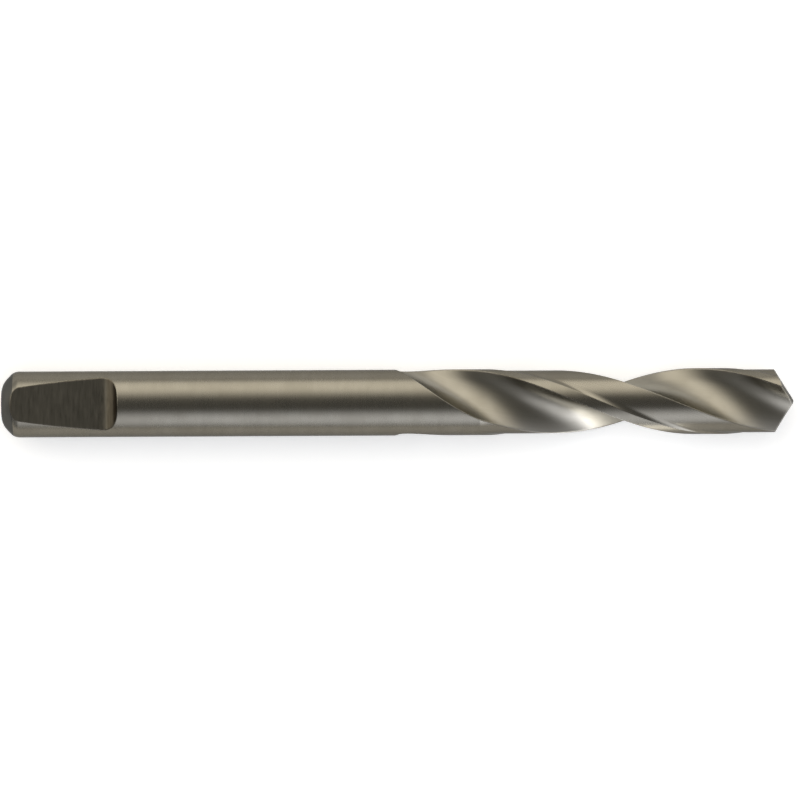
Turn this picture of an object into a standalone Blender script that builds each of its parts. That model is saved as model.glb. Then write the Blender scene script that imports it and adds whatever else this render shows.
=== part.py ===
"""Pilot drill bit: a round ground shank with a set-screw flat, two right-hand flutes and a 135 degree point."""

import math

import bmesh
import bpy
from mathutils import Matrix, Vector

MM = 0.001

# Blank. The drill lies along X with its point toward +X and rests on Z = 0.
LENGTH = 76.2 * MM
DIAMETER = 6.35 * MM
RADIUS = DIAMETER / 2

# Ground shank end: a small flat face, a large rounding, a chamfer and a soft blend into the shank.
END_TAPER_WIDTH = 2.145 * MM  # how far in from the shank's surface the end face begins
END_ROUND_RADIUS = 2.1 * MM
END_CHAMFER_ANGLE = math.radians(44)
END_BLEND_RADIUS = 1.1 * MM

# Set-screw flat on the upper side of the shank. It deepens away from the end and stops in a fillet.
FLAT_LENGTH = 11.25 * MM
FLAT_SLOPE = math.radians(5.7)
FLAT_START_DEPTH = 0.28 * MM
FLAT_FILLET_RADIUS = 1.5 * MM

# Flutes. Angles are measured about the axis from the leading edge of a margin.
HELIX_LEAD = 45.8 * MM
LEADING_EDGE_UP_AT = 55.3 * MM  # distance from the shank end where a margin's leading edge faces up
LAND_ANGLE = math.radians(74)
LIP_SPACING = 0.95 * MM  # between the two straight lips, which run side by side
LIP_FACE_END = 2.3 * MM  # distance from the axis where the straight face turns into the round bottom
LIP_FACE_REACH = 2.15 * MM  # how strongly the bottom carries on in the direction of that face
HEEL_WALL_ANGLE = math.radians(-107)  # direction in which the heel side reaches the surface
HEEL_WALL_REACH = 0.2 * MM
FLUTE_START = 37.1 * MM  # distance from the shank end where the run-out leaves the surface
RUN_OUT_LENGTH = 9.9 * MM
RUN_OUT_ANGLE = math.radians(-28)  # direction in which the grinding wheel is drawn out of the flute

# Margin and the body clearance ground behind it.
MARGIN_WIDTH = 1.05 * MM
CLEARANCE_DEPTH = 0.145 * MM
CLEARANCE_FILLET = 1.1 * MM
CLEARANCE_START = 46.0 * MM
CLEARANCE_RUN_OUT = 2.4 * MM

# Point: two primary and two secondary facets.
POINT_ANGLE = math.radians(135)
LIP_RELIEF = math.radians(10)
HEEL_RELIEF = math.radians(25)

STEEL_COLOR = (0.45, 0.44, 0.41, 1)
STEEL_ROUGHNESS = 0.3

# Mesh fineness.
ROUND_STEPS = 112
END_ARC_STEPS = 5
FLAT_ARC_STEPS = 10
FACE_STEPS = 6
HEEL_STEPS = 12
OUTER_STEPS = 8
CLEARANCE_STEPS = 14
FILLET_STEPS = 6
STATION_STEP = 0.8 * MM
RUN_OUT_STEP = 0.5 * MM
EDGE_ANGLE = math.radians(28)

LIP_OFFSET = LIP_SPACING / 2
SIDES = (("near", 0), ("far", math.pi))  # the two flutes and lips, half a turn apart
HALF_POINT = POINT_ANGLE / 2
TWIST_RATE = 2 * math.pi / HELIX_LEAD
LIP_OFFSET_ANGLE = math.asin(LIP_OFFSET / RADIUS)

# How far the cutting shapes reach beyond the blank, so that no faces coincide.
OVERSHOOT = 1.5 * MM
CUTTER_REACH = 1.1 * MM
CUTTER_RADIUS = RADIUS + CUTTER_REACH
FACET_BLOCK_SIZE = 3 * DIAMETER
LEAD_IN = 0.6 * MM
HEEL_OVERLAP = 0.4 * MM


def clear_scene():
    for item in list(bpy.data.objects):
        bpy.data.objects.remove(item, do_unlink=True)


def steel():
    material = bpy.data.materials.new("ground_steel")
    material.use_nodes = True
    shader = material.node_tree.nodes["Principled BSDF"]
    shader.inputs["Base Color"].default_value = STEEL_COLOR
    shader.inputs["Metallic"].default_value = 1
    shader.inputs["Roughness"].default_value = STEEL_ROUGHNESS
    return material


def in_place(along, section):
    """A point given by its distance from the shank end and its (up, across) offset from the axis."""
    up, across = section
    return Vector((along - LENGTH / 2, across, up + RADIUS))


def polar(angle, distance):
    return distance * math.cos(angle), distance * math.sin(angle)


def turned(section, angle):
    up, across = section
    cosine, sine = math.cos(angle), math.sin(angle)
    return up * cosine - across * sine, up * sine + across * cosine


def leading_edge_angle(along):
    """Angle of one margin's leading edge at this distance from the shank end."""
    return -TWIST_RATE * (along - LEADING_EDGE_UP_AT)


def mesh_object(name, bm):
    bm.normal_update()
    bmesh.ops.recalc_face_normals(bm, faces=bm.faces)
    mesh = bpy.data.meshes.new(name)
    bm.to_mesh(mesh)
    bm.free()
    item = bpy.data.objects.new(name, mesh)
    bpy.context.collection.objects.link(item)
    return item


def lofted(name, rings):
    """A closed mesh through rings of points, capped at both ends."""
    bm = bmesh.new()
    rows = [[bm.verts.new(point) for point in ring] for ring in rings]
    count = len(rows[0])
    for first, second in zip(rows, rows[1:]):
        for i in range(count):
            j = (i + 1) % count
            bm.faces.new((first[i], first[j], second[j], second[i]))
    for row in (rows[0], rows[-1]):
        bm.faces.new(row)
    bmesh.ops.triangulate(bm, faces=bm.faces, quad_method="SHORT_EDGE")
    return mesh_object(name, bm)


def shank_end_profile():
    """(distance from the end, radius) from the end face out to the full diameter."""
    end_face_radius = RADIUS - END_TAPER_WIDTH
    points = []
    for i in range(END_ARC_STEPS + 1):
        turn = END_CHAMFER_ANGLE * i / END_ARC_STEPS
        along = END_ROUND_RADIUS * (1 - math.cos(turn))
        points.append((along, end_face_radius + END_ROUND_RADIUS * math.sin(turn)))
    round_end, round_radius = points[-1]
    blend_turn = math.pi / 2 - END_CHAMFER_ANGLE
    blend_radius = RADIUS - END_BLEND_RADIUS * (1 - math.cos(blend_turn))
    chamfer_run = (blend_radius - round_radius) * math.tan(END_CHAMFER_ANGLE)
    blend_centre = round_end + chamfer_run + END_BLEND_RADIUS * math.sin(blend_turn)
    for i in range(END_ARC_STEPS + 1):
        turn = blend_turn * (1 - i / END_ARC_STEPS)
        along = blend_centre - END_BLEND_RADIUS * math.sin(turn)
        points.append((along, RADIUS - END_BLEND_RADIUS * (1 - math.cos(turn))))
    return points


def blank():
    profile = shank_end_profile() + [(LENGTH + OVERSHOOT, RADIUS)]
    rings = []
    for along, radius in profile:
        steps = [2 * math.pi * i / ROUND_STEPS for i in range(ROUND_STEPS)]
        rings.append([in_place(along, polar(angle, radius)) for angle in steps])
    return lofted("drill_bit", rings)


def flute_face():
    """Cutting side of the flute: the straight lip carried back along the helix, from outside inward."""
    points = []
    for i in range(FACE_STEPS + 1):
        distance = CUTTER_RADIUS + (LIP_FACE_END - CUTTER_RADIUS) * i / FACE_STEPS
        twist_back = TWIST_RATE * (RADIUS - distance) / math.tan(HALF_POINT)
        ahead = math.asin(LIP_OFFSET / distance) - LIP_OFFSET_ANGLE - twist_back
        points.append(Vector(polar(-ahead, distance)))
    return points


def flute_section():
    """Closed outline of the flute cutter: cutting face, round bottom, heel wall, and back around outside."""
    points = flute_face()
    face_end = points[-1]
    face_handle = face_end + (face_end - points[-2]).normalized() * LIP_FACE_REACH
    heel = Vector(polar(LAND_ANGLE - math.pi, RADIUS))
    wall = Vector(polar(HEEL_WALL_ANGLE, 1))
    heel_handle = heel - wall * HEEL_WALL_REACH
    for i in range(1, HEEL_STEPS + 1):
        t = i / HEEL_STEPS
        point = face_end * (1 - t) ** 3 + face_handle * 3 * (1 - t) ** 2 * t
        point += heel_handle * 3 * (1 - t) * t ** 2 + heel * t ** 3
        points.append(point)
    outside = heel + wall * (CUTTER_RADIUS - RADIUS)
    points.append(outside)
    first = math.atan2(outside.y, outside.x)
    for i in range(1, OUTER_STEPS):
        points.append(Vector(polar(first * (1 - i / OUTER_STEPS), outside.length)))
    return points


def clearance_section(raised):
    """Closed outline of the cutter that lowers a land behind its margin, lifted by the given amount."""
    start = MARGIN_WIDTH / RADIUS
    end = LAND_ANGLE + HEEL_OVERLAP / RADIUS
    floor = RADIUS - CLEARANCE_DEPTH + raised
    slope_at_margin = math.acos(1 - CLEARANCE_DEPTH / CLEARANCE_FILLET)
    slope_at_top = math.acos(1 - 2 * CLEARANCE_DEPTH / CLEARANCE_FILLET)
    points = []
    for i in range(FILLET_STEPS + 1):
        turn = slope_at_top * (1 - i / FILLET_STEPS)
        behind = CLEARANCE_FILLET * (math.sin(slope_at_margin) - math.sin(turn))
        points.append(polar(start + behind / RADIUS, floor + CLEARANCE_FILLET * (1 - math.cos(turn))))
    first = start + CLEARANCE_FILLET * math.sin(slope_at_margin) / RADIUS
    for i in range(1, CLEARANCE_STEPS + 1):
        points.append(polar(first + (end - first) * i / CLEARANCE_STEPS, floor))
    for i in range(OUTER_STEPS + 1):
        points.append(polar(end + (start - end) * i / OUTER_STEPS, CUTTER_RADIUS))
    return points


def stations(start, run_out):
    """Distances along the drill where a swept cutter has a section: closer together in the run-out."""
    slow = max(2, round(run_out / RUN_OUT_STEP))
    full = start + run_out
    fast = round((LENGTH + OVERSHOOT - full) / STATION_STEP)
    places = [start - LEAD_IN + (run_out + LEAD_IN) * i / slow for i in range(slow)]
    return places + [full + (LENGTH + OVERSHOOT - full) * i / fast for i in range(fast + 1)]


def lift(along, start, run_out, depth):
    """How far the grinding wheel has been drawn out: an arc that just leaves the surface at start."""
    wheel_radius = (run_out ** 2 + depth ** 2) / (2 * depth)
    remaining = max(0, start + run_out - along)
    return wheel_radius - math.sqrt(wheel_radius ** 2 - remaining ** 2)


def flute_cutter(name, phase):
    outline = flute_section()
    depth = RADIUS - LIP_OFFSET
    rings = []
    for along in stations(FLUTE_START, RUN_OUT_LENGTH):
        shift = polar(RUN_OUT_ANGLE, lift(along, FLUTE_START, RUN_OUT_LENGTH, depth))
        angle = leading_edge_angle(along) + phase
        moved = [turned((up + shift[0], across + shift[1]), angle) for up, across in outline]
        rings.append([in_place(along, point) for point in moved])
    return lofted(name, rings)


def clearance_cutter(name, phase):
    rings = []
    for along in stations(CLEARANCE_START, CLEARANCE_RUN_OUT):
        outline = clearance_section(lift(along, CLEARANCE_START, CLEARANCE_RUN_OUT, CLEARANCE_DEPTH))
        angle = leading_edge_angle(along) + phase
        rings.append([in_place(along, turned(point, angle)) for point in outline])
    return lofted(name, rings)


def flat_cutter():
    """A bar laid across the shank whose lower outline is the sloping flat and its end fillet."""
    slope = math.tan(FLAT_SLOPE)
    above = RADIUS + OVERSHOOT
    arc_centre_up = FLAT_FILLET_RADIUS / math.cos(FLAT_SLOPE)

    def floor(along):
        return RADIUS - FLAT_START_DEPTH - slope * along

    centre_along = FLAT_LENGTH - FLAT_FILLET_RADIUS
    centre_up = floor(centre_along) + arc_centre_up
    points = [(-OVERSHOOT, floor(-OVERSHOOT))]
    for i in range(FLAT_ARC_STEPS + 1):
        turn = -math.pi / 2 - FLAT_SLOPE + (math.pi / 2 + FLAT_SLOPE) * i / FLAT_ARC_STEPS
        along = centre_along + FLAT_FILLET_RADIUS * math.cos(turn)
        points.append((along, centre_up + FLAT_FILLET_RADIUS * math.sin(turn)))
    points += [(FLAT_LENGTH, above), (-OVERSHOOT, above)]
    rings = []
    for across in (-DIAMETER, DIAMETER):
        rings.append([in_place(along, (up, across)) for along, up in points])
    return lofted("flat_cutter", rings)


def facet_cutter(name, lip_angle, relief):
    """A block whose underside is one facet of the point: it drops outward and away from the lip."""
    outward = in_place(0, polar(lip_angle, 1)) - in_place(0, (0, 0))
    ahead = in_place(0, polar(lip_angle - math.pi / 2, 1)) - in_place(0, (0, 0))
    along = Vector((1, 0, 0))
    normal = (along + outward / math.tan(HALF_POINT) - ahead * math.tan(relief)).normalized()
    side = normal.cross(ahead).normalized()
    back = normal.cross(side)
    tip = in_place(LENGTH, (0, 0))
    bm = bmesh.new()
    bmesh.ops.create_cube(bm, size=FACET_BLOCK_SIZE)
    frame = Matrix((side, back, normal)).transposed().to_4x4()
    bm.transform(Matrix.Translation(tip + normal * FACET_BLOCK_SIZE / 2) @ frame)
    return mesh_object(name, bm)


def cut(target, cutter):
    cutter.hide_render = True
    cutter.display_type = "WIRE"
    step = target.modifiers.new(cutter.name, "BOOLEAN")
    step.operation = "DIFFERENCE"
    step.solver = "EXACT"
    step.object = cutter


clear_scene()
drill = blank()
drill.data.materials.append(steel())

for side_name, phase in SIDES:
    cut(drill, flute_cutter(f"flute_cutter_{side_name}", phase))
    cut(drill, clearance_cutter(f"clearance_cutter_{side_name}", phase))

corner_at = LENGTH - RADIUS / math.tan(HALF_POINT)
lip_direction = leading_edge_angle(corner_at) + LIP_OFFSET_ANGLE
for side_name, phase in SIDES:
    cut(drill, facet_cutter(f"lip_facet_{side_name}", lip_direction + phase, LIP_RELIEF))
    cut(drill, facet_cutter(f"heel_facet_{side_name}", lip_direction + phase, HEEL_RELIEF))

cut(drill, flat_cutter())

cut_drill = drill.evaluated_get(bpy.context.evaluated_depsgraph_get())
drill.data = bpy.data.meshes.new_from_object(cut_drill)
drill.modifiers.clear()
drill.data.shade_smooth()
drill.data.set_sharp_from_angle(angle=EDGE_ANGLE)
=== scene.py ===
import math

import bmesh
import bpy
from mathutils import Matrix, Vector


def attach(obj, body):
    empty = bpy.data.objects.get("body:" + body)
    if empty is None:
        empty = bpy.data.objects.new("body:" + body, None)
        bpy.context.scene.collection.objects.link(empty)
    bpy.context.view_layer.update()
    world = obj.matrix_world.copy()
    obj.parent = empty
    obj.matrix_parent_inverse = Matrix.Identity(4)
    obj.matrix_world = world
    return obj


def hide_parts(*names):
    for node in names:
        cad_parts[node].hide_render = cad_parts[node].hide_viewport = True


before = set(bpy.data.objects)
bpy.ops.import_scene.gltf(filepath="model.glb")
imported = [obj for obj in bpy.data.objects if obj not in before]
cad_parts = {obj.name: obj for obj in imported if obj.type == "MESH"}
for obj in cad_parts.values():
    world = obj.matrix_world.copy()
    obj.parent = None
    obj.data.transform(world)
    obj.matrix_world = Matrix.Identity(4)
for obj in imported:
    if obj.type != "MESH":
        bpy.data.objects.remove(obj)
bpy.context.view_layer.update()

mm = 0.001

# Sizes of the drill in millimetres and degrees. Distances along it start at the shank end.
drill = {
    "length": 76.2,
    "radius": 3.175,
    "endTaperWidth": 2.145,
    "endRounding": 2.1,
    "endChamfer": 44,
    "endBlend": 1.1,
    "flatLength": 11.25,
    "flatSlope": 5.7,
    "flatStartDepth": 0.28,
    "flatFillet": 1.5,
    "helixLead": 45.8,
    "leadingEdgeUpAt": 55.3,
    "landAngle": 74,
    "lipSpacing": 0.95,
    "lipFaceEnd": 2.3,
    "lipFaceReach": 2.15,
    "heelWallAngle": -107,
    "heelWallReach": 0.2,
    "fluteStart": 37.1,
    "runOut": 9.9,
    "runOutAngle": -28,
    "marginWidth": 1.05,
    "clearanceDepth": 0.145,
    "clearanceFillet": 1.1,
    "clearanceStart": 46.0,
    "clearanceRunOut": 2.4,
    "pointAngle": 135,
    "lipRelief": 10,
    "heelRelief": 25,
    # how far the cutting shapes reach beyond the blank
    "overshoot": 1.5,
    "cutterReach": 1.1,
    "leadIn": 0.6,
    "heelOverlap": 0.4,
    # steps along each line of the surface, millimetres between the cutters' stations, and the
    # angle above which an edge shows as sharp
    "stepsAround": 300,
    "stepsEndArc": 12,
    "stepsFlatArc": 32,
    "stepsFace": 18,
    "stepsHeel": 44,
    "stepsOutside": 8,
    "stepsClearance": 40,
    "stepsFillet": 20,
    "station": 0.3,
    "runOutStation": 0.25,
    "sharpAbove": 28,
    # where the end's darker steel, painted shade, stops, as a share of the blended corner
    "endShadeShare": 0.5,
}

radius = drill["radius"]
length = drill["length"]
halfPoint = math.radians(drill["pointAngle"] / 2)
twistRate = 2 * math.pi / drill["helixLead"]
halfSpacing = drill["lipSpacing"] / 2
lipOffset = math.asin(halfSpacing / radius)
overshoot = drill["overshoot"]
cutterRadius = radius + drill["cutterReach"]


def inPlace(along, section):
    return Vector((along - length / 2, section[1], section[0] + radius)) * mm


def polar(angle, distance):
    return Vector((distance * math.cos(angle), distance * math.sin(angle)))


def turned(point, angle):
    cosine, sine = math.cos(angle), math.sin(angle)
    return Vector((point.x * cosine - point.y * sine, point.x * sine + point.y * cosine))


def leadingEdgeAngle(along):
    return -twistRate * (along - drill["leadingEdgeUpAt"])


def meshObject(name, bm, material):
    bm.normal_update()
    bmesh.ops.recalc_face_normals(bm, faces=bm.faces)
    mesh = bpy.data.meshes.new(name)
    bm.to_mesh(mesh)
    bm.free()
    mesh.materials.append(material)
    item = bpy.data.objects.new(name, mesh)
    bpy.context.collection.objects.link(item)
    return item


def lofted(name, rings, material):
    bm = bmesh.new()
    rows = [[bm.verts.new(point) for point in ring] for ring in rings]
    count = len(rows[0])
    for first, second in zip(rows, rows[1:]):
        for i in range(count):
            j = (i + 1) % count
            bm.faces.new((first[i], first[j], second[j], second[i]))
    bm.faces.new(rows[0])
    bm.faces.new(rows[-1])
    bmesh.ops.triangulate(bm, faces=bm.faces, quad_method="SHORT_EDGE")
    return meshObject(name, bm, material)


def shankEndProfile():
    chamfer = math.radians(drill["endChamfer"])
    steps = drill["stepsEndArc"]
    points = []
    for i in range(steps + 1):
        turn = chamfer * i / steps
        points.append((drill["endRounding"] * (1 - math.cos(turn)),
                       radius - drill["endTaperWidth"] + drill["endRounding"] * math.sin(turn)))
    roundEnd, roundRadius = points[-1]
    blend = drill["endBlend"]
    blendTurn = math.pi / 2 - chamfer
    blendRadius = radius - blend * (1 - math.cos(blendTurn))
    blendStart = roundEnd + (blendRadius - roundRadius) * math.tan(chamfer)
    blendCentre = blendStart + blend * math.sin(blendTurn)
    for i in range(steps + 1):
        turn = blendTurn * (1 - i / steps)
        points.append((blendCentre - blend * math.sin(turn), radius - blend * (1 - math.cos(turn))))
    return points


def blank(material):
    angles = [2 * math.pi * i / drill["stepsAround"] for i in range(drill["stepsAround"])]
    rings = [[inPlace(along, polar(angle, size)) for angle in angles]
             for along, size in shankEndProfile() + [(length + overshoot, radius)]]
    return lofted("drill_blank", rings, material)


def fluteSection():
    # the lip is straight, so the cutting face is that line carried back along the helix
    points = []
    for i in range(drill["stepsFace"] + 1):
        distance = cutterRadius + (drill["lipFaceEnd"] - cutterRadius) * i / drill["stepsFace"]
        twistBack = twistRate * (radius - distance) / math.tan(halfPoint)
        ahead = math.asin(halfSpacing / distance) - lipOffset - twistBack
        points.append(polar(-ahead, distance))
    faceEnd = points[-1]
    faceHandle = faceEnd + (faceEnd - points[-2]).normalized() * drill["lipFaceReach"]
    heel = polar(math.radians(drill["landAngle"] - 180), radius)
    wall = polar(math.radians(drill["heelWallAngle"]), 1)
    heelHandle = heel - wall * drill["heelWallReach"]
    for i in range(1, drill["stepsHeel"] + 1):
        t = i / drill["stepsHeel"]
        points.append(faceEnd * (1 - t) ** 3 + faceHandle * 3 * (1 - t) ** 2 * t
                      + heelHandle * 3 * (1 - t) * t ** 2 + heel * t ** 3)
    outside = heel + wall * (cutterRadius - radius)
    points.append(outside)
    first = math.atan2(outside.y, outside.x)
    for i in range(1, drill["stepsOutside"]):
        points.append(polar(first * (1 - i / drill["stepsOutside"]), outside.length))
    return points


def clearanceSection(raised):
    depth = drill["clearanceDepth"]
    fillet = drill["clearanceFillet"]
    start = drill["marginWidth"] / radius
    end = math.radians(drill["landAngle"]) + drill["heelOverlap"] / radius
    floorRadius = radius - depth + raised
    slopeAtMargin = math.acos(1 - depth / fillet)
    slopeAtTop = math.acos(1 - 2 * depth / fillet)
    points = []
    for i in range(drill["stepsFillet"] + 1):
        turn = slopeAtTop * (1 - i / drill["stepsFillet"])
        behind = fillet * (math.sin(slopeAtMargin) - math.sin(turn))
        points.append(polar(start + behind / radius, floorRadius + fillet * (1 - math.cos(turn))))
    first = start + fillet * math.sin(slopeAtMargin) / radius
    for i in range(1, drill["stepsClearance"] + 1):
        points.append(polar(first + (end - first) * i / drill["stepsClearance"], floorRadius))
    for i in range(drill["stepsOutside"] + 1):
        points.append(polar(end + (start - end) * i / drill["stepsOutside"], cutterRadius))
    return points


def stations(start, runOut):
    slow = round(runOut / drill["runOutStation"])
    full = start + runOut
    rest = length + overshoot - full
    leadIn = drill["leadIn"]
    fast = round(rest / drill["station"])
    places = [start - leadIn + (runOut + leadIn) * i / slow for i in range(slow)]
    return places + [full + rest * i / fast for i in range(fast + 1)]


def lift(along, start, runOut, depth):
    wheel = (runOut ** 2 + depth ** 2) / (2 * depth)
    remaining = max(0, start + runOut - along)
    return wheel - math.sqrt(wheel ** 2 - remaining ** 2)


def fluteCutter(name, phase, material):
    outline = fluteSection()
    depth = radius - halfSpacing
    rings = []
    for along in stations(drill["fluteStart"], drill["runOut"]):
        shift = polar(math.radians(drill["runOutAngle"]),
                      lift(along, drill["fluteStart"], drill["runOut"], depth))
        angle = leadingEdgeAngle(along) + phase
        rings.append([inPlace(along, turned(point + shift, angle)) for point in outline])
    return lofted(name, rings, material)


def clearanceCutter(name, phase, material):
    rings = []
    for along in stations(drill["clearanceStart"], drill["clearanceRunOut"]):
        raised = lift(along, drill["clearanceStart"], drill["clearanceRunOut"],
                      drill["clearanceDepth"])
        angle = leadingEdgeAngle(along) + phase
        rings.append([inPlace(along, turned(point, angle)) for point in clearanceSection(raised)])
    return lofted(name, rings, material)


def flatCutter(material):
    slope = math.radians(drill["flatSlope"])
    fillet = drill["flatFillet"]
    above = radius + overshoot

    def flatHeight(along):
        return radius - drill["flatStartDepth"] - math.tan(slope) * along

    centre = drill["flatLength"] - fillet
    centreHeight = flatHeight(centre) + fillet / math.cos(slope)
    points = [(-overshoot, flatHeight(-overshoot))]
    for i in range(drill["stepsFlatArc"] + 1):
        turn = (math.pi / 2 + slope) * (i / drill["stepsFlatArc"] - 1)
        points.append((centre + fillet * math.cos(turn), centreHeight + fillet * math.sin(turn)))
    points += [(drill["flatLength"], above), (-overshoot, above)]
    halfWidth = 2 * radius
    rings = [[inPlace(along, (height, across)) for along, height in points]
             for across in (-halfWidth, halfWidth)]
    return lofted("flat_cutter", rings, material)


def facetCutter(name, lipAngle, relief, material):
    along = Vector((1, 0, 0))
    outward = Vector((0, math.sin(lipAngle), math.cos(lipAngle)))
    ahead = Vector((0, -math.cos(lipAngle), math.sin(lipAngle)))
    fallAway = ahead * math.tan(math.radians(relief))
    normal = (along + outward / math.tan(halfPoint) - fallAway).normalized()
    side = normal.cross(ahead).normalized()
    size = 6 * radius * mm  # a block that clears the whole blank
    axes = Matrix((side, normal.cross(side), normal)).transposed().to_4x4()
    bm = bmesh.new()
    bmesh.ops.create_cube(bm, size=size)
    tip = inPlace(length, (0, 0))
    bm.transform(Matrix.Translation(tip + normal * size / 2) @ axes)
    return meshObject(name, bm, material)


def cutAll(target, cutters):
    for cutter in cutters:
        step = target.modifiers.new(cutter.name, "BOOLEAN")
        step.operation = "DIFFERENCE"
        step.solver = "EXACT"
        step.material_mode = "TRANSFER"
        step.object = cutter
    graph = bpy.context.evaluated_depsgraph_get()
    result = bpy.data.meshes.new_from_object(target.evaluated_get(graph))
    for cutter in cutters:
        bpy.data.objects.remove(cutter, do_unlink=True)
    target.modifiers.clear()
    target.data = result


def sharpBorders(mesh):
    # wherever one ground surface meets another the edge is crisp, however flat the angle
    bm = bmesh.new()
    bm.from_mesh(mesh)
    for edge in bm.edges:
        if len({face.material_index for face in edge.link_faces}) > 1:
            edge.smooth = False
    bm.to_mesh(mesh)
    bm.free()


def feed(tree, socket, value):
    # links another node's socket, or sets the value itself
    if isinstance(value, bpy.types.NodeSocket):
        tree.links.new(value, socket)
    else:
        socket.default_value = value


def addNode(tree, kind, place, inputs=None, **values):
    node = tree.nodes.new(kind)
    node.location = place
    for name, value in values.items():
        setattr(node, name, value)
    for name, value in (inputs or {}).items():
        feed(tree, node.inputs[name], value)
    return node


def mathNode(tree, operation, first, second, place):
    inputs = {0: first, 1: second}
    return addNode(tree, "ShaderNodeMath", place, inputs, operation=operation).outputs[0]


def newGroup(name, inputs, outputs):
    # inputs give each socket's first value, which is a colour where it is a tuple
    group = bpy.data.node_groups.new(name, "ShaderNodeTree")
    for label, value in inputs.items():
        kind = "NodeSocketColor" if isinstance(value, tuple) else "NodeSocketFloat"
        socket = group.interface.new_socket(label, in_out="INPUT", socket_type=kind)
        socket.default_value = value
    for label, kind in outputs.items():
        group.interface.new_socket(label, in_out="OUTPUT", socket_type="NodeSocket" + kind)
    given = addNode(group, "NodeGroupInput", (-1200, 0))
    result = addNode(group, "NodeGroupOutput", (600, 0))
    return group, given.outputs, result.inputs


def grindLinesGroup():
    # fine grinding lines that run around the axis, or along a helix where Twist is set
    group, given, result = newGroup(
        "grind_lines", {"Twist": 0.0, "Lines Along": 9000.0, "Lines Around": 40.0, "Seed": 0.0},
        {"Fine": "Float", "Broad": "Float"})
    where = addNode(group, "ShaderNodeTexCoord", (-1200, -300))
    parts = addNode(group, "ShaderNodeSeparateXYZ", (-1000, -300), {0: where.outputs["Object"]})
    along = parts.outputs["X"]
    height = mathNode(group, "SUBTRACT", parts.outputs["Z"], radius * mm, (-800, -400))
    angle = mathNode(group, "ARCTAN2", parts.outputs["Y"], height, (-650, -400))
    twist = mathNode(group, "MULTIPLY", along, given["Twist"], (-650, -100))
    around = mathNode(group, "ADD", angle, twist, (-500, -300))
    x = mathNode(group, "MULTIPLY", along, given["Lines Along"], (-350, 100))
    y = mathNode(group, "MULTIPLY", around, given["Lines Around"], (-350, -100))
    for name, scale, detail, place in (("Fine", 1.0, 3.0, 150), ("Broad", 0.13, 2.0, -150)):
        joined = addNode(group, "ShaderNodeCombineXYZ", (-150, place),
                         {"X": x, "Y": y, "Z": given["Seed"]})
        noise = addNode(group, "ShaderNodeTexNoise", (50, place), {
            "Vector": joined.outputs[0], "Scale": scale, "Detail": detail, "Roughness": 0.6})
        group.links.new(noise.outputs["Fac"], result[name])
    return group


def handlingGroup():
    # soft blotches of oil film and tiny dull specks left by storage and handling
    group, given, result = newGroup(
        "handling_marks", {"Blotch Scale": 420.0, "Speck Scale": 2600.0},
        {"Blotches": "Float", "Specks": "Float"})
    where = addNode(group, "ShaderNodeTexCoord", (-800, -200))
    for name, scale, detail, low, high, place in (
        ("Blotches", "Blotch Scale", 4.0, 0.38, 0.66, 150),
        ("Specks", "Speck Scale", 2.0, 0.66, 0.74, -150),
    ):
        noise = addNode(group, "ShaderNodeTexNoise", (-500, place), {
            "Vector": where.outputs["Object"], "Scale": given[scale], "Detail": detail})
        spread = addNode(group, "ShaderNodeMapRange", (-200, place), {
            "Value": noise.outputs["Fac"], "From Min": low, "From Max": high})
        group.links.new(spread.outputs["Result"], result[name])
    return group


def steelToneGroup():
    # dark and light steel mixed by the grinding lines, with the oil film over them
    grey = (0.3, 0.3, 0.3, 1)
    group, given, result = newGroup(
        "steel_tone",
        {"Fine": 0.5, "Broad": 0.5, "Line Tone": 0.2, "Dark": grey, "Light": grey,
         "Blotches": 0.0, "Film Amount": 0.25, "Film": grey},
        {"Color": "Color"})
    lines = addNode(group, "ShaderNodeMix", (-800, 250), {
        "Factor": given["Line Tone"], "A": given["Broad"], "B": given["Fine"]})
    tone = addNode(group, "ShaderNodeMix", (-500, 250), data_type="RGBA", inputs={
        "Factor": lines.outputs["Result"], "A": given["Dark"], "B": given["Light"]})
    cover = mathNode(group, "MULTIPLY", given["Blotches"], given["Film Amount"], (-500, 0))
    film = addNode(group, "ShaderNodeMix", (-200, 150), data_type="RGBA", inputs={
        "Factor": cover, "A": tone.outputs["Result"], "B": given["Film"]})
    group.links.new(film.outputs["Result"], result["Color"])
    return group


def paintedGlanceShadeGroup():
    # painted shade: the steel's colour darkens where it is seen at a glancing angle, standing in
    # for dimmer reflections at its edges
    grey = (0.3, 0.3, 0.3, 1)
    group, given, result = newGroup(
        "painted_glance_shade", {"Color": grey, "Skin": grey, "Facing": 0.0, "Start": 0.2, "Full": 0.34},
        {"Color": "Color"})
    amount = addNode(group, "ShaderNodeMapRange", (-600, 0), {
        "Value": given["Facing"], "From Min": given["Start"], "From Max": given["Full"],
    }, interpolation_type="SMOOTHSTEP")
    darkened = addNode(group, "ShaderNodeMix", (-200, 0), data_type="RGBA", blend_type="MULTIPLY",
                       inputs={"Factor": amount.outputs["Result"], "A": given["Color"],
                               "B": given["Skin"]})
    group.links.new(darkened.outputs["Result"], result["Color"])
    return group


def steelRoughnessGroup():
    # the oil film, the specks and the grinding lines each dull the steel a little
    group, given, result = newGroup(
        "steel_roughness",
        {"Base": 0.22, "Blotches": 0.0, "Blotch Dulling": 0.03, "Specks": 0.0,
         "Speck Dulling": 0.03, "Fine": 0.0, "Line Dulling": 0.08},
        {"Roughness": "Float"})
    film = mathNode(group, "MULTIPLY", given["Blotches"], given["Blotch Dulling"], (-700, 150))
    specks = mathNode(group, "MULTIPLY", given["Specks"], given["Speck Dulling"], (-700, 0))
    lines = mathNode(group, "MULTIPLY", given["Fine"], given["Line Dulling"], (-700, -150))
    marks = mathNode(group, "ADD", film, specks, (-450, 100))
    total = mathNode(group, "ADD", marks, lines, (-200, 0))
    group.links.new(mathNode(group, "ADD", total, given["Base"], (50, 0)), result["Roughness"])
    return group


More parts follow.
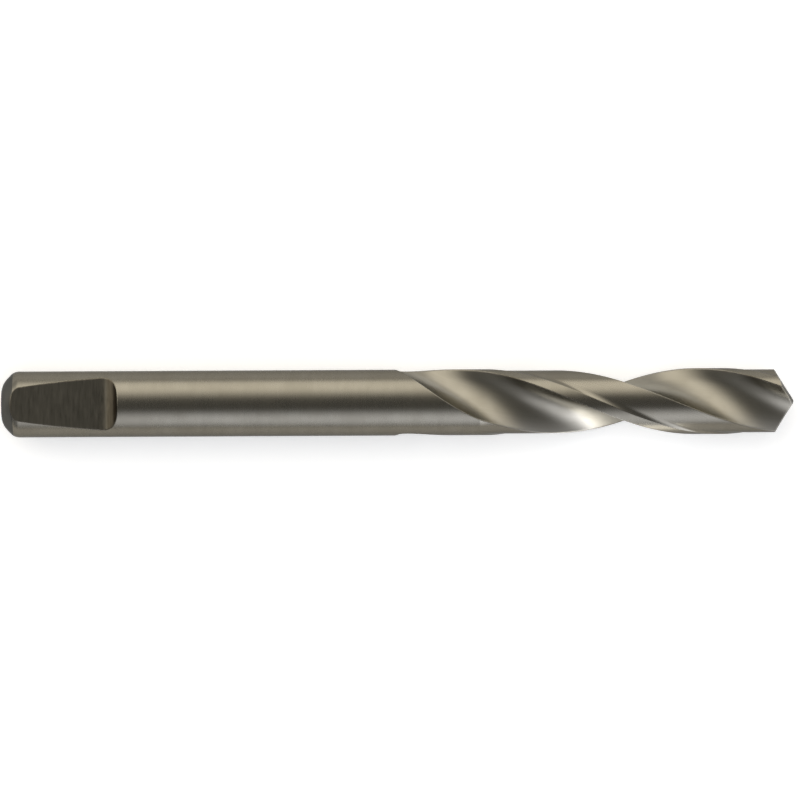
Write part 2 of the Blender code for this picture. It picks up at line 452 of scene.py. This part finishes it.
def wornEdgeGroup(samples):
    # a normal that rounds every edge by the radius
    group, given, result = newGroup("worn_edge", {"Radius": 0.0001}, {"Normal": "Vector"})
    worn = addNode(group, "ShaderNodeBevel", (-200, 0), {"Radius": given["Radius"]},
                   samples=samples)
    group.links.new(worn.outputs["Normal"], result["Normal"])
    return group


grindLines = grindLinesGroup()
handling = handlingGroup()
steelTone = steelToneGroup()
paintedGlanceShade = paintedGlanceShadeGroup()
steelRoughness = steelRoughnessGroup()
wornEdge = wornEdgeGroup(samples=6)
print("shader groups ready")


def groundSteel(name, look):
    material = bpy.data.materials.new(name)
    material.use_nodes = True
    tree = material.node_tree
    lines = addNode(tree, "ShaderNodeGroup", (-1300, 0), node_tree=grindLines, inputs={
        "Twist": look["twist"], "Lines Along": look["linesAlong"],
        "Lines Around": look["linesAround"], "Seed": look["seed"]}).outputs
    marks = addNode(tree, "ShaderNodeGroup", (-1300, -300), node_tree=handling, inputs={
        "Blotch Scale": look["blotchScale"], "Speck Scale": look["speckScale"]}).outputs
    tone = addNode(tree, "ShaderNodeGroup", (-900, 300), node_tree=steelTone, inputs={
        "Fine": lines["Fine"], "Broad": lines["Broad"], "Line Tone": look["lineTone"],
        "Dark": look["dark"], "Light": look["light"], "Blotches": marks["Blotches"],
        "Film Amount": look["filmAmount"], "Film": look["film"]})
    # painted shade: the colour darkens towards the glancing edges of each surface
    glance = addNode(tree, "ShaderNodeLayerWeight", (-900, 600))
    start, full = look["paintedShadeFrom"]
    paintedShade = addNode(tree, "ShaderNodeGroup", (-500, 400), node_tree=paintedGlanceShade, inputs={
        "Color": tone.outputs["Color"], "Skin": look["paintedShade"], "Facing": glance.outputs["Facing"],
        "Start": start, "Full": full})
    roughness = addNode(tree, "ShaderNodeGroup", (-500, 0), node_tree=steelRoughness, inputs={
        "Base": look["roughness"], "Blotches": marks["Blotches"],
        "Blotch Dulling": look["roughSpread"], "Specks": marks["Specks"],
        "Speck Dulling": look["speckRoughness"], "Fine": lines["Fine"],
        "Line Dulling": look["grainRoughness"]})
    worn = addNode(tree, "ShaderNodeGroup", (-700, -500), node_tree=wornEdge, inputs={
        "Radius": look["edgeBreak"] * mm})
    bump = addNode(tree, "ShaderNodeBump", (-350, -400), {
        "Strength": look["bump"], "Distance": look["bumpDepth"] * mm, "Height": lines["Fine"],
        "Normal": worn.outputs["Normal"]})

    shader = tree.nodes["Principled BSDF"]
    shader.inputs["Metallic"].default_value = 1
    shader.inputs["Specular Tint"].default_value = look["edgeTint"]
    tree.links.new(paintedShade.outputs["Color"], shader.inputs["Base Color"])
    tree.links.new(roughness.outputs["Roughness"], shader.inputs["Roughness"])
    tree.links.new(bump.outputs["Normal"], shader.inputs["Normal"])
    return material


helicalTwist = twistRate / mm

# The drill's finishes and their painted light and shade: the shank's has every value, and the
# others only what differs from it.
# Edge breaks and bump depths are in millimetres, lines and scales count for each metre.
finishesAndPaintedLight = {
    "shank_ground_steel": {
        "light": (0.33, 0.32, 0.295, 1),
        "dark": (0.25, 0.242, 0.222, 1),
        "lineTone": 0.2,
        "film": (0.23, 0.217, 0.187, 1),
        "filmAmount": 0.25,
        "edgeTint": (0.5, 0.5, 0.5, 1),
        # painted shade at glancing angles: the colour the steel darkens to there, and where that
        # darkening starts and is full
        "paintedShade": (0.56, 0.535, 0.48, 1),
        "paintedShadeFrom": (0.2, 0.34),
        "twist": 0.0,
        "linesAlong": 9000.0,
        "linesAround": 6.0,
        "seed": 0.0,
        "blotchScale": 420.0,
        "speckScale": 2600.0,
        "roughness": 0.22,
        "roughSpread": 0.03,
        "speckRoughness": 0.03,
        "grainRoughness": 0.08,
        "edgeBreak": 0.12,
        "bump": 0.25,
        "bumpDepth": 0.004,
    },
    "flat_ground_steel": {
        "light": (0.44, 0.42, 0.375, 1),
        "dark": (0.06, 0.057, 0.051, 1),
        "lineTone": 0.8,
        # painted shade at glancing angles starts almost at once on the flat and its fillet
        "paintedShade": (0.62, 0.59, 0.55, 1),
        "paintedShadeFrom": (0.02, 0.1),
        "linesAlong": 4200.0,
        "linesAround": 1.5,
        "seed": 3.0,
        "roughness": 0.26,
        "edgeBreak": 0.2,
        "bump": 0.4,
    },
    # painted shade: the end's steel is about half as light, so its rounding shows a dimmer
    # reflection
    "end_painted_shade_steel": {
        "light": (0.17, 0.175, 0.18, 1),
        "dark": (0.12, 0.124, 0.128, 1),
        "film": (0.12, 0.12, 0.115, 1),
        "linesAlong": 6000.0,
        "seed": 5.0,
        "roughness": 0.3,
    },
    # painted light: the flutes' steel is lighter and less darkened at glancing angles, which
    # brightens their reflected bands
    "flute_painted_light_steel": {
        "light": (0.37, 0.36, 0.335, 1),
        "dark": (0.31, 0.302, 0.28, 1),
        "paintedShade": (0.78, 0.76, 0.7, 1),
        "twist": helicalTwist,
        "linesAlong": 120.0,
        "linesAround": 240.0,
        "seed": 7.0,
        "roughness": 0.26,
        "edgeBreak": 0.25,
        "bump": 0.15,
    },
    "land_ground_steel": {
        "twist": helicalTwist,
        "linesAlong": 200.0,
        "linesAround": 200.0,
        "seed": 11.0,
    },
    # painted shade: the point's facets are darker steel, so they show a dark line where they would
    # reflect the pale floor
    "point_painted_shade_steel": {
        "light": (0.2, 0.195, 0.18, 1),
        "dark": (0.15, 0.146, 0.134, 1),
        "film": (0.14, 0.133, 0.118, 1),
        "seed": 17.0,
        "roughness": 0.3,
        "edgeBreak": 0.02,
    },
}
steels = {name: groundSteel(name, {**finishesAndPaintedLight["shank_ground_steel"], **changes})
          for name, changes in finishesAndPaintedLight.items()}
print("materials ready:", ", ".join(steels))

fineDrill = blank(steels["shank_ground_steel"])
fineDrill.name = "drill_bit_fine"
fineDrill.data.materials.append(steels["end_painted_shade_steel"])
cornerReach = max(along for along, size in shankEndProfile())
endReach = cornerReach - drill["endBlend"] * drill["endShadeShare"]
# the end's faces take the darker steel, painted shade
for face in fineDrill.data.polygons:
    if face.center.x < (endReach - length / 2) * mm:
        face.material_index = 1

cutters = []
sides = (("near", 0), ("far", math.pi))
for side, phase in sides:
    cutters.append(fluteCutter("flute_" + side, phase, steels["flute_painted_light_steel"]))
    cutters.append(clearanceCutter("clearance_" + side, phase, steels["land_ground_steel"]))
lipDirection = leadingEdgeAngle(length - radius / math.tan(halfPoint)) + lipOffset
for side, phase in sides:
    for facet, relief in (("lip_facet_", "lipRelief"), ("heel_facet_", "heelRelief")):
        cutters.append(facetCutter(facet + side, lipDirection + phase, drill[relief],
                                   steels["point_painted_shade_steel"]))
cutters.append(flatCutter(steels["flat_ground_steel"]))
cutAll(fineDrill, cutters)
fineDrill.data.shade_smooth()
fineDrill.data.set_sharp_from_angle(angle=math.radians(drill["sharpAbove"]))
sharpBorders(fineDrill.data)
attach(fineDrill, "root")
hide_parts("drill_bit")
print("drill ready:", len(fineDrill.data.polygons), "faces,",
      len(fineDrill.data.materials), "materials")

# The floor, the lamps and the reflected surroundings. Sizes and places are in millimetres.
# Surroundings are set by how far a surface leans: towards +Y it shows the warm window, towards
# -Y the cool one, towards the point a pale glow, and level the dark ceiling.
stage = {
    "floorReach": 600,
    "floorColor": (0.87, 0.88, 0.9, 1),
    "floorRoughness": 0.9,
    "floorShine": 0.1,
    "whiteness": 0.4,
    "fillPower": 0.75,
    "fillSize": (500, 500),
    "fillPlace": (0, 0, 350),
    "cardPower": 0.0005,
    "cardSize": (10, 5),
    "cardPlace": (22.5, -13, 2.6),
    "above": (0.122, 0.116, 0.1, 1),
    "warm": (1.52, 1.39, 1.13, 1),
    "warmLow": (0.38, 0.355, 0.3, 1),
    "warmLeans": (0.12, 0.49, 0.58, 0.78),
    "warmShear": (0.3, 0.85),
    "shankSideLimit": -0.3,
    "cool": (1.24, 1.24, 1.25, 1),
    "coolLow": (0.38, 0.38, 0.37, 1),
    "coolLeans": (0.14, 0.46, 0.5, 0.7),
    "coolShear": 0.5,
    "coolGain": (0.1, 1),
    "coolGainFrom": (-0.15, 0),
    "coolBoost": (1, 1.4),
    "coolBoostFrom": (0.08, 0.28),
    "glow": (0.95, 0.95, 0.98, 1),
    "glowFrom": (0.2, 0.62),
    "lowWindow": (1.25, 1.25, 1.3, 1),
    "lowWindowAhead": (0.1, 0.2),
    "lowWindowAside": (0.22, 0.5),
    "lowWindowShear": 0.85,
}


def floorMaterial():
    material = bpy.data.materials.new("pale_floor")
    material.use_nodes = True
    tree = material.node_tree
    shader = tree.nodes["Principled BSDF"]
    shader.inputs["Base Color"].default_value = stage["floorColor"]
    shader.inputs["Roughness"].default_value = stage["floorRoughness"]
    shader.inputs["Specular IOR Level"].default_value = stage["floorShine"]
    # paler to the camera and in reflections, with no more light on the drill
    shader.inputs["Emission Color"].default_value = stage["floorColor"]
    rays = addNode(tree, "ShaderNodeLightPath", (-700, -200)).outputs
    seen = mathNode(tree, "MAXIMUM", rays["Is Camera Ray"], rays["Is Glossy Ray"], (-500, -200))
    seen = mathNode(tree, "MAXIMUM", seen, rays["Is Transmission Ray"], (-350, -200))
    tree.links.new(mathNode(tree, "MULTIPLY", seen, stage["whiteness"], (-200, -200)),
                   shader.inputs["Emission Strength"])
    return material


def makeFloor():
    bm = bmesh.new()
    bmesh.ops.create_grid(bm, x_segments=1, y_segments=1, size=stage["floorReach"] * mm)
    floor = meshObject("floor", bm, floorMaterial())


def areaLamp(name, size, power, place):
    data = bpy.data.lights.new(name, "AREA")
    data.shape = "RECTANGLE"
    data.size, data.size_y = (side * mm for side in size)
    data.energy = power
    lamp = bpy.data.objects.new(name, data)
    bpy.context.collection.objects.link(lamp)
    lamp.location = Vector(place) * mm
    return lamp


def makeLamps():
    # the fill lights the floor evenly and leaves the dark reflection overhead as it is
    fill = areaLamp("overhead_fill", stage["fillSize"], stage["fillPower"], stage["fillPlace"])
    fill.visible_glossy = False
    # the card beside the first flute brightens the wall under the cutting edge
    card = areaLamp("bounce_card", stage["cardSize"], stage["cardPower"], stage["cardPlace"])
    card.rotation_euler = (math.radians(90), 0, 0)


def windowRamp(tree, lean, name, place):
    # dark up to the first lean, full between the second and third, low from the fourth on
    ramp = addNode(tree, "ShaderNodeValToRGB", place)
    ramp.color_ramp.interpolation = "EASE"
    elements = ramp.color_ramp.elements
    while len(elements) < 4:
        elements.new(0.5)
    colors = ((0, 0, 0, 1), stage[name], stage[name], stage[name + "Low"])
    for element, position, color in zip(elements, stage[name + "Leans"], colors):
        element.position = position
        element.color = color
    tree.links.new(lean, ramp.inputs["Fac"])
    return ramp.outputs["Color"]


def smoothRange(tree, value, between, output, place):
    start, end = between
    low, high = output
    inputs = {"Value": value, "From Min": start, "From Max": end, "To Min": low, "To Max": high}
    node = addNode(tree, "ShaderNodeMapRange", place, inputs, interpolation_type="SMOOTHSTEP")
    return node.outputs["Result"]


def scaledColor(tree, color, factor, place):
    inputs = {0: color if isinstance(color, bpy.types.NodeSocket) else color[:3], "Scale": factor}
    return addNode(tree, "ShaderNodeVectorMath", place, inputs, operation="SCALE").outputs[0]


def studioWorld():
    # coloured by the lean of a surface that shows this direction to someone looking straight down
    world = bpy.data.worlds.new("studio")
    world.use_nodes = True
    tree = world.node_tree
    where = addNode(tree, "ShaderNodeTexCoord", (-1600, 0))
    halfway = addNode(tree, "ShaderNodeVectorMath", (-1400, 0),
                      {0: where.outputs["Generated"], 1: (0, 0, 1)}, operation="ADD")
    lean = addNode(tree, "ShaderNodeVectorMath", (-1200, 0), {0: halfway.outputs[0]},
                   operation="NORMALIZE")
    parts = addNode(tree, "ShaderNodeSeparateXYZ", (-1000, 0), {0: lean.outputs[0]})
    leanX, leanY = parts.outputs["X"], parts.outputs["Y"]

    # each window lies askew, so what it shows shifts with the lean along the drill
    towardPoint, towardShank = stage["warmShear"]
    limited = mathNode(tree, "MAXIMUM", leanX, stage["shankSideLimit"], (-800, 300))
    warmShift = mathNode(tree, "MINIMUM",
                         mathNode(tree, "MULTIPLY", limited, towardPoint, (-650, 400)),
                         mathNode(tree, "MULTIPLY", limited, towardShank, (-650, 200)), (-500, 300))
    warmLean = mathNode(tree, "SUBTRACT", leanY, warmShift, (-400, 250))
    forward = mathNode(tree, "MAXIMUM", leanX, 0, (-800, -50))
    coolShift = mathNode(tree, "MULTIPLY", forward, -stage["coolShear"], (-650, -50))
    coolLean = mathNode(tree, "SUBTRACT", coolShift, leanY, (-500, -50))
    lowShift = mathNode(tree, "MULTIPLY", leanX, -stage["lowWindowShear"], (-650, -1050))
    lowLean = mathNode(tree, "SUBTRACT", lowShift, leanY, (-500, -1050))

    # the cool window is brightest towards the drill's point, and the low one shows only there
    gain = smoothRange(tree, leanX, stage["coolGainFrom"], stage["coolGain"], (-500, -300))
    boost = smoothRange(tree, leanX, stage["coolBoostFrom"], stage["coolBoost"], (-500, -450))
    coolStrength = mathNode(tree, "MULTIPLY", gain, boost, (-200, -300))
    glow = smoothRange(tree, leanX, stage["glowFrom"], (0, 1), (-300, -600))
    ahead = smoothRange(tree, leanX, stage["lowWindowAhead"], (0, 1), (-300, -800))
    aside = smoothRange(tree, lowLean, stage["lowWindowAside"], (0, 1), (-300, -1050))
    low = mathNode(tree, "MULTIPLY", ahead, aside, (-100, -800))
    cool = windowRamp(tree, coolLean, "cool", (-300, 0))
    total = stage["above"][:3]
    for part, place in (
        (windowRamp(tree, warmLean, "warm", (-300, 300)), 300),
        (scaledColor(tree, cool, coolStrength, (0, 0)), 150),
        (scaledColor(tree, stage["glow"], glow, (0, -300)), 0),
        (scaledColor(tree, stage["lowWindow"], low, (0, -600)), -150),
    ):
        total = addNode(tree, "ShaderNodeVectorMath", (200, place), {0: total, 1: part},
                        operation="ADD").outputs[0]
    tree.links.new(total, tree.nodes["Background"].inputs["Color"])
    bpy.context.scene.world = world


makeFloor()
makeLamps()
studioWorld()
print("stage ready")

# The photograph's view: the drill's place in pixels of the picture, and the camera in millimetres.
photo = {
    "pixelSize": 0.0962,
    "width": 800,
    "middleAlong": 398.6,
    "axisBelowMiddle": 2.6,
    "turn": 0.29,
    "lens": 400,
    "sensor": 36,
    "clipStart": 10,
}

cameraData = bpy.data.cameras.new("photo_camera")
cameraData.lens = photo["lens"]
cameraData.sensor_width = photo["sensor"]
cameraData.clip_start = photo["clipStart"] * mm
camera = bpy.data.objects.new("photo_camera", cameraData)
bpy.context.collection.objects.link(camera)
viewWidth = photo["pixelSize"] * photo["width"]
camera.location = Vector((
    photo["middleAlong"] * photo["pixelSize"] - length / 2,
    photo["axisBelowMiddle"] * photo["pixelSize"],
    radius + viewWidth * photo["lens"] / photo["sensor"],
)) * mm
camera.rotation_euler = (0, 0, -math.radians(photo["turn"]))
bpy.context.scene.camera = camera
bpy.context.scene.view_settings.view_transform = "Standard"
print("camera ready")
